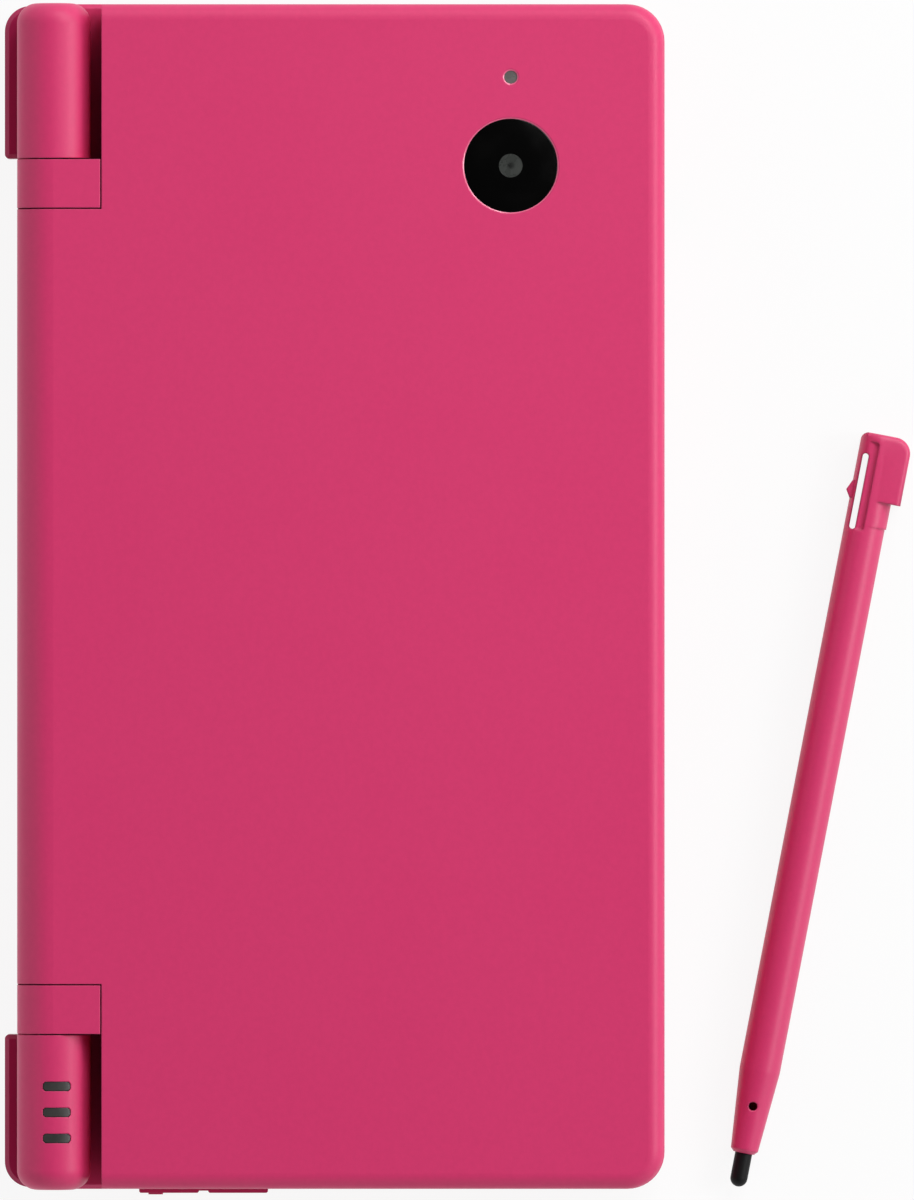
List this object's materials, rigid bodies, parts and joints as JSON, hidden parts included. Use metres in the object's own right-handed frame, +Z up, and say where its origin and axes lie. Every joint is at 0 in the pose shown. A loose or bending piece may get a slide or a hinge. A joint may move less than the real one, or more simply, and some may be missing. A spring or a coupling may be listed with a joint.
{
  "type": "clamshell handheld game console",
  "caption": "Closed clamshell handheld game console with rolled-over hinge, outer camera, working buttons and a stylus lying in front of it.",
  "frame": {"origin": "middle of the flat underside of the console's base", "axes": "+X towards the console's right side, +Y towards its hinged rear, +Z up out of the lid"},
  "size_m": [0.1378, 0.1048, 0.0189],
  "materials": {
    "pink_shell": "satin moulded plastic",
    "button_plastic": "satin moulded plastic",
    "black_gloss": "polished black plastic",
    "black_plastic": "fine matt black plastic",
    "rubber": "soft matt rubber",
    "window": "clear scratch-resistant panel",
    "screen": "dark display module",
    "steel": "zinc-plated steel",
    "sheet_metal": "bright sheet metal",
    "board": "green circuit board",
    "battery": "grey wrapped cell",
    "light_lens": "cloudy grey lens"
  },
  "bodies": {
    "base": {"base_lower_case": "pink_shell", "base_upper_case": "pink_shell", "battery_cover": "pink_shell", "battery_cover_screws": "steel", "battery_pack": "battery", "main_board": "board", "wireless_module": "board", "game_card_slot": "sheet_metal", "sd_card_slot": "sheet_metal", "touch_panel": "window", "lower_screen": "screen", "action_button_rubber": "rubber", "menu_button_rubber": "rubber", "power_switch": "rubber", "shoulder_pins": "steel", "shoulder_switches": "black_plastic", "volume_pin": "steel", "volume_switch": "black_plastic", "headphone_jack": "black_plastic", "charge_connector": "black_plastic", "hinge_shafts": "steel", "status_light_lenses": "light_lens", "case_screws": "steel", "stylus_sleeve": "black_plastic"},
    "lid": {"lid_outer_cover": "pink_shell", "lid_inner_frame": "pink_shell", "upper_screen": "screen", "upper_screen_window": "window", "speaker_left": "black_plastic", "speaker_right": "black_plastic", "outer_camera_window": "black_gloss", "outer_camera_module": "black_plastic", "camera_light_lens": "light_lens", "inner_camera_module": "black_plastic", "inner_camera_window": "black_gloss", "microphone": "black_plastic", "hinge_clutches": "steel", "lid_screws": "steel", "lid_bumpers": "rubber"},
    "dpad_rocker": {"dpad_rubber": "rubber"},
    "dpad": {"dpad": "button_plastic"},
    "button_a": {"button_a": "button_plastic"},
    "button_b": {"button_b": "button_plastic"},
    "button_x": {"button_x": "button_plastic"},
    "button_y": {"button_y": "button_plastic"},
    "start_button": {"start_button": "button_plastic"},
    "select_button": {"select_button": "button_plastic"},
    "power_button": {"power_button": "button_plastic"},
    "shoulder_left": {"shoulder_button_left": "button_plastic"},
    "shoulder_right": {"shoulder_button_right": "button_plastic"},
    "volume_rocker": {"volume_rocker": "button_plastic"},
    "sd_slot_cover": {"sd_slot_cover": "pink_shell"},
    "stylus": {"stylus_body": "pink_shell", "stylus_tip": "black_plastic"}
  },
  "joints": [
    {"name": "lid_hinge", "type": "hinge", "parent": "base", "child": "lid", "pos_m": [0, 0.03315, 0.01465], "axis": [-1, 0, 0], "range_deg": [0, 155]},
    {"name": "button_a_press", "type": "slide", "parent": "base", "child": "button_a", "axis": [0, 0, -1], "range_m": [0, 0.00035], "stiffness_N_per_m": 300, "springref_m": -0.0005},
    {"name": "button_b_press", "type": "slide", "parent": "base", "child": "button_b", "axis": [0, 0, -1], "range_m": [0, 0.00035], "stiffness_N_per_m": 300, "springref_m": -0.0005},
    {"name": "button_x_press", "type": "slide", "parent": "base", "child": "button_x", "axis": [0, 0, -1], "range_m": [0, 0.00035], "stiffness_N_per_m": 300, "springref_m": -0.0005},
    {"name": "button_y_press", "type": "slide", "parent": "base", "child": "button_y", "axis": [0, 0, -1], "range_m": [0, 0.00035], "stiffness_N_per_m": 300, "springref_m": -0.0005},
    {"name": "start_button_press", "type": "slide", "parent": "base", "child": "start_button", "axis": [0, 0, -1], "range_m": [0, 0.00035], "stiffness_N_per_m": 300, "springref_m": -0.0005},
    {"name": "select_button_press", "type": "slide", "parent": "base", "child": "select_button", "axis": [0, 0, -1], "range_m": [0, 0.00035], "stiffness_N_per_m": 300, "springref_m": -0.0005},
    {"name": "power_button_press", "type": "slide", "parent": "base", "child": "power_button", "axis": [0, 0, -1], "range_m": [0, 0.00035], "stiffness_N_per_m": 300, "springref_m": -0.0005},
    {"name": "dpad_up_down", "type": "hinge", "parent": "base", "child": "dpad_rocker", "pos_m": [-0.0525, 0.004, 0.0079], "axis": [1, 0, 0], "range_deg": [-1.8, 1.8], "stiffness_Nm_per_rad": 0.02},
    {"name": "dpad_left_right", "type": "hinge", "parent": "dpad_rocker", "child": "dpad", "pos_m": [-0.0525, 0.004, 0.0079], "axis": [0, 1, 0], "range_deg": [-1.8, 1.8], "stiffness_Nm_per_rad": 0.02},
    {"name": "shoulder_left_press", "type": "hinge", "parent": "base", "child": "shoulder_left", "pos_m": [-0.05285, 0.0338, 0.0055], "axis": [0, 0, 1], "range_deg": [0, 4], "stiffness_Nm_per_rad": 0.05, "springref_deg": -5.73},
    {"name": "shoulder_right_press", "type": "hinge", "parent": "base", "child": "shoulder_right", "pos_m": [0.05285, 0.0338, 0.0055], "axis": [0, 0, -1], "range_deg": [0, 4], "stiffness_Nm_per_rad": 0.05, "springref_deg": -5.73},
    {"name": "volume_rock", "type": "hinge", "parent": "base", "child": "volume_rocker", "pos_m": [-0.0665, 0.01595, 0.0052], "axis": [0, 0, 1], "range_deg": [-2.5, 2.5], "stiffness_Nm_per_rad": 0.02},
    {"name": "sd_door_hinge", "type": "hinge", "parent": "base", "child": "sd_slot_cover", "pos_m": [0.06795, 0.01395, 0.0052], "axis": [0, 0, 1], "range_deg": [0, 100]},
    {"name": "stylus_lift", "type": "slide", "parent": "base", "child": "stylus", "axis": [0, 0, 1], "range_m": [0, 0.1]}
  ]
}
